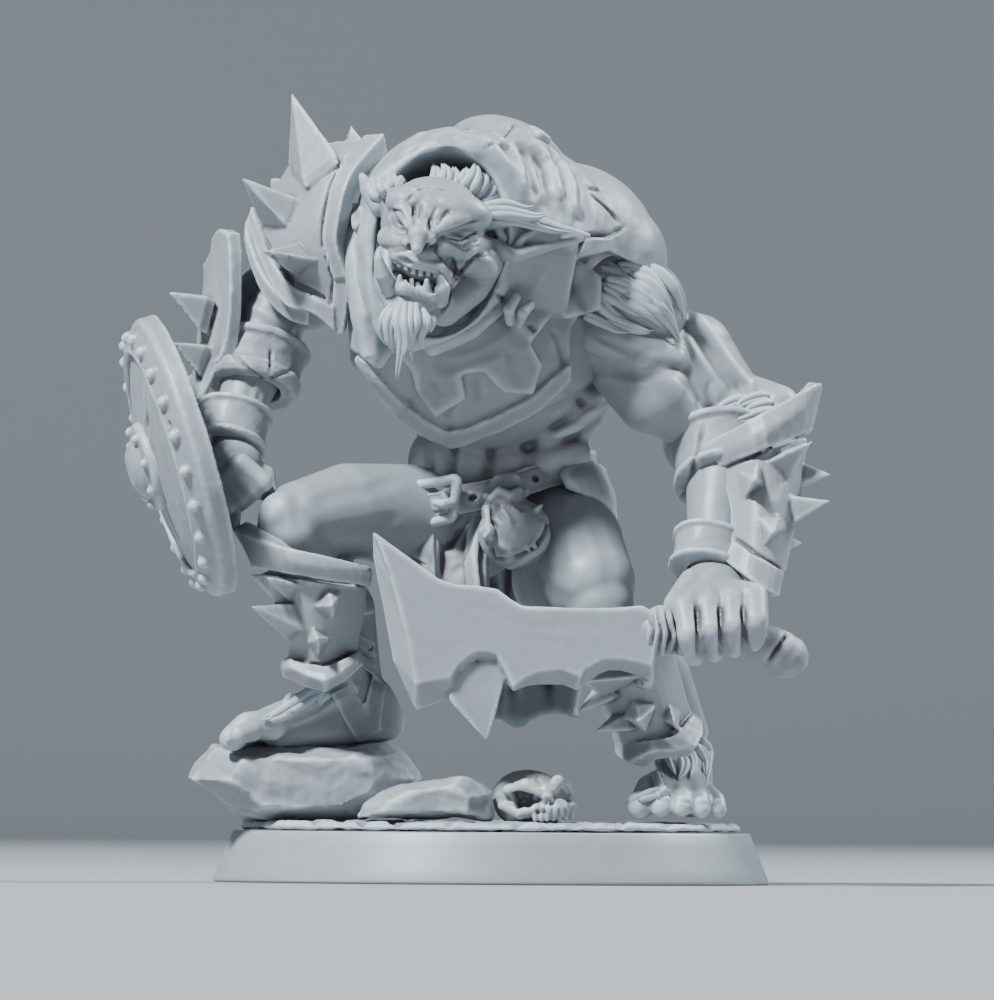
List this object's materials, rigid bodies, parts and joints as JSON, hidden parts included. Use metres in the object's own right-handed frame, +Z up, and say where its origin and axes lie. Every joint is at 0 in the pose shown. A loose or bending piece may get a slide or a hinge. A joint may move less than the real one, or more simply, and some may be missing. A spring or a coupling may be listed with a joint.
{
  "type": "gaming miniature",
  "caption": "Unpainted resin tabletop miniature of a crouching long-eared ogre with cleaver, round shield and spiked armour, on a round base.",
  "frame": {"origin": "centre of the round base's underside", "axes": "+Z up, the figure faces -Y, +X is to the right of a viewer facing the figure"},
  "size_m": [0.0507, 0.04, 0.0564],
  "materials": {
    "skin_resin": "bare grey resin, smooth, soft sheen",
    "bone_resin": "bare grey resin, finely pitted",
    "cloth_resin": "bare grey resin, matte, sculpted folds",
    "leather_resin": "bare grey resin, matte, sculpted hide",
    "armour_resin": "bare grey resin, crisp edges, satin",
    "blade_resin": "bare grey resin, satin, nicked edges",
    "wood_resin": "bare grey resin, sculpted wood grain",
    "stone_resin": "bare grey resin, rough, chipped faces",
    "base_resin": "bare grey resin, smooth satin"
  },
  "bodies": {
    "root": {"torso": "skin_resin", "right_leg": "skin_resin", "left_leg": "skin_resin", "head": "skin_resin", "right_arm": "skin_resin", "left_arm": "skin_resin", "ground_skull": "bone_resin", "shoulder_mantle": "cloth_resin", "loincloth_front": "cloth_resin", "loincloth_back": "cloth_resin", "breast_leather": "leather_resin", "belt": "leather_resin", "belt_pouch": "leather_resin", "right_elbow_cuff": "leather_resin", "left_elbow_cuff": "leather_resin", "cleaver_handle": "leather_resin", "shield_grip": "leather_resin", "shoulder_guard": "armour_resin", "shoulder_guard_lame": "armour_resin", "right_vambrace": "armour_resin", "left_vambrace": "armour_resin", "right_greave": "armour_resin", "left_greave": "armour_resin", "right_wrist_band": "armour_resin", "left_wrist_band": "armour_resin", "belt_buckle": "armour_resin", "shield_rim": "armour_resin", "shield_boss": "armour_resin", "cleaver_blade": "blade_resin", "shield_board": "wood_resin", "paving_slab": "stone_resin", "big_rock": "stone_resin", "small_rock": "stone_resin", "base_plinth": "base_resin"}
  },
  "joints": []
}
